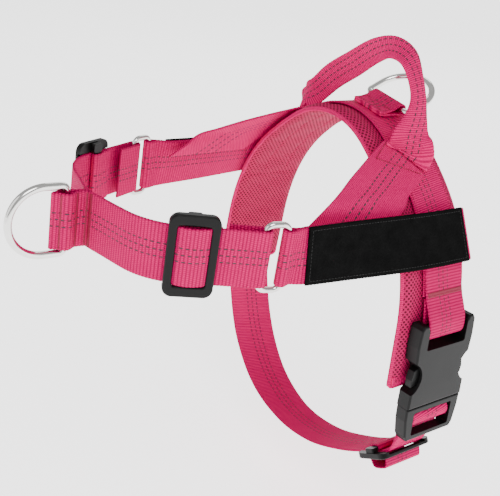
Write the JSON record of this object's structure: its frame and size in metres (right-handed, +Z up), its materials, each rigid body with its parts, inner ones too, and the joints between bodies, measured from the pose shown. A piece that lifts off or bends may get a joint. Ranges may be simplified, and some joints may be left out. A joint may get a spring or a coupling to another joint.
{
  "type": "dog harness",
  "caption": "No-pull dog harness in pink webbing, with a padded girth, side-release buckle, breast loop with a front leash ring, top leash ring and lifting handle.",
  "frame": {"origin": "underside of the saddle pad, at the top centre of the back", "axes": "+X towards the dog's head, +Y to its left side, +Z up"},
  "size_m": [0.3286, 0.245, 0.3517],
  "materials": {
    "pink_webbing": "flat woven polyester with grey reflective threads",
    "pink_mesh": "knitted spacer mesh",
    "foam": "open foam",
    "pink_binding": "ribbed binding tape",
    "loop_fabric": "napped loop",
    "buckle_plastic": "fine satin",
    "slider_plastic": "fine satin",
    "ring_steel": "nickel plate"
  },
  "bodies": {
    "harness": {"pad_lining": "pink_mesh", "pad_foam": "foam", "pad_cover": "pink_mesh", "pad_binding": "pink_binding", "girth_webbing": "pink_webbing", "socket_loop": "pink_webbing", "belly_strap": "pink_webbing", "buckle_socket": "buckle_plastic", "chest_strap_left": "pink_webbing", "chest_strap_right": "pink_webbing", "front_pleat": "pink_webbing", "top_tab": "pink_webbing", "side_panel_left": "pink_webbing", "side_panel_right": "pink_webbing", "label_patch_left": "loop_fabric", "label_patch_right": "loop_fabric", "diagonal_strap_left": "pink_webbing", "diagonal_strap_right": "pink_webbing", "handle_foot_left": "pink_webbing", "handle_foot_right": "pink_webbing"},
    "front_ring": {"front_ring": "ring_steel"},
    "top_ring": {"top_ring": "ring_steel"},
    "handle": {"handle_loop": "pink_webbing"},
    "link_ring_left": {"link_ring_left": "ring_steel"},
    "link_ring_right": {"link_ring_right": "ring_steel"},
    "chest_slider_left": {"chest_slider_left": "slider_plastic", "chest_tail_left": "pink_webbing"},
    "chest_slider_right": {"chest_slider_right": "slider_plastic", "chest_tail_right": "pink_webbing"},
    "plug": {"buckle_plug": "buckle_plastic", "belly_loop": "pink_webbing"},
    "plug_arm_rear": {"plug_arm_rear": "buckle_plastic"},
    "plug_arm_front": {"plug_arm_front": "buckle_plastic"},
    "girth_slider": {"girth_slider": "slider_plastic", "girth_slider_tail": "pink_webbing"}
  },
  "joints": [
    {"name": "front_ring_swing", "type": "hinge", "parent": "harness", "child": "front_ring", "pos_m": [0.2392, 0, -0.04427], "axis": [-0.0785, 0, 0.9969], "range_deg": [-90, 90]},
    {"name": "top_ring_swing", "type": "hinge", "parent": "harness", "child": "top_ring", "pos_m": [-0.01566, 0.01053, 0.01108], "axis": [-0.008, -0.9903, 0.1389], "range_deg": [-60, 25]},
    {"name": "handle_tip", "type": "hinge", "parent": "harness", "child": "handle", "pos_m": [0.006, 0, -0.012], "axis": [0, 1, 0], "range_deg": [-3, 3], "stiffness_Nm_per_rad": 0.05},
    {"name": "link_ring_left_swivel", "type": "hinge", "parent": "harness", "child": "link_ring_left", "pos_m": [0.141, 0.087, -0.052], "axis": [-0.0785, 0, 0.9969], "range_deg": [-4, 4]},
    {"name": "link_ring_right_swivel", "type": "hinge", "parent": "harness", "child": "link_ring_right", "pos_m": [0.141, -0.087, -0.052], "axis": [-0.0785, 0, 0.9969], "range_deg": [-4, 4]},
    {"name": "chest_slider_left_slide", "type": "slide", "parent": "harness", "child": "chest_slider_left", "axis": [0.896, -0.4384, 0.0705], "range_m": [-0.018, 0]},
    {"name": "chest_slider_right_slide", "type": "slide", "parent": "harness", "child": "chest_slider_right", "axis": [0.896, 0.4384, 0.0705], "range_m": [-0.018, 0]},
    {"name": "buckle_release", "type": "slide", "parent": "harness", "child": "plug", "axis": [0.0574, 0.0698, -0.9959], "range_m": [0, 0.03], "deforming": ["plug_arm_rear", "plug_arm_front"]},
    {"name": "plug_arm_rear_squeeze", "type": "hinge", "parent": "plug", "child": "plug_arm_rear", "pos_m": [-0.01184, 0.12107, -0.17677], "axis": [-0.004, 0.9976, 0.0696], "range_deg": [0, 10], "stiffness_Nm_per_rad": 0.3},
    {"name": "plug_arm_front_squeeze", "type": "hinge", "parent": "plug", "child": "plug_arm_front", "pos_m": [0.0221, 0.12107, -0.17482], "axis": [0.004, -0.9976, -0.0696], "range_deg": [0, 10], "stiffness_Nm_per_rad": 0.3},
    {"name": "girth_slider_slide", "type": "slide", "parent": "plug", "child": "girth_slider", "axis": [0.0314, -0.8387, -0.5437], "range_m": [0, 0.01]}
  ]
}
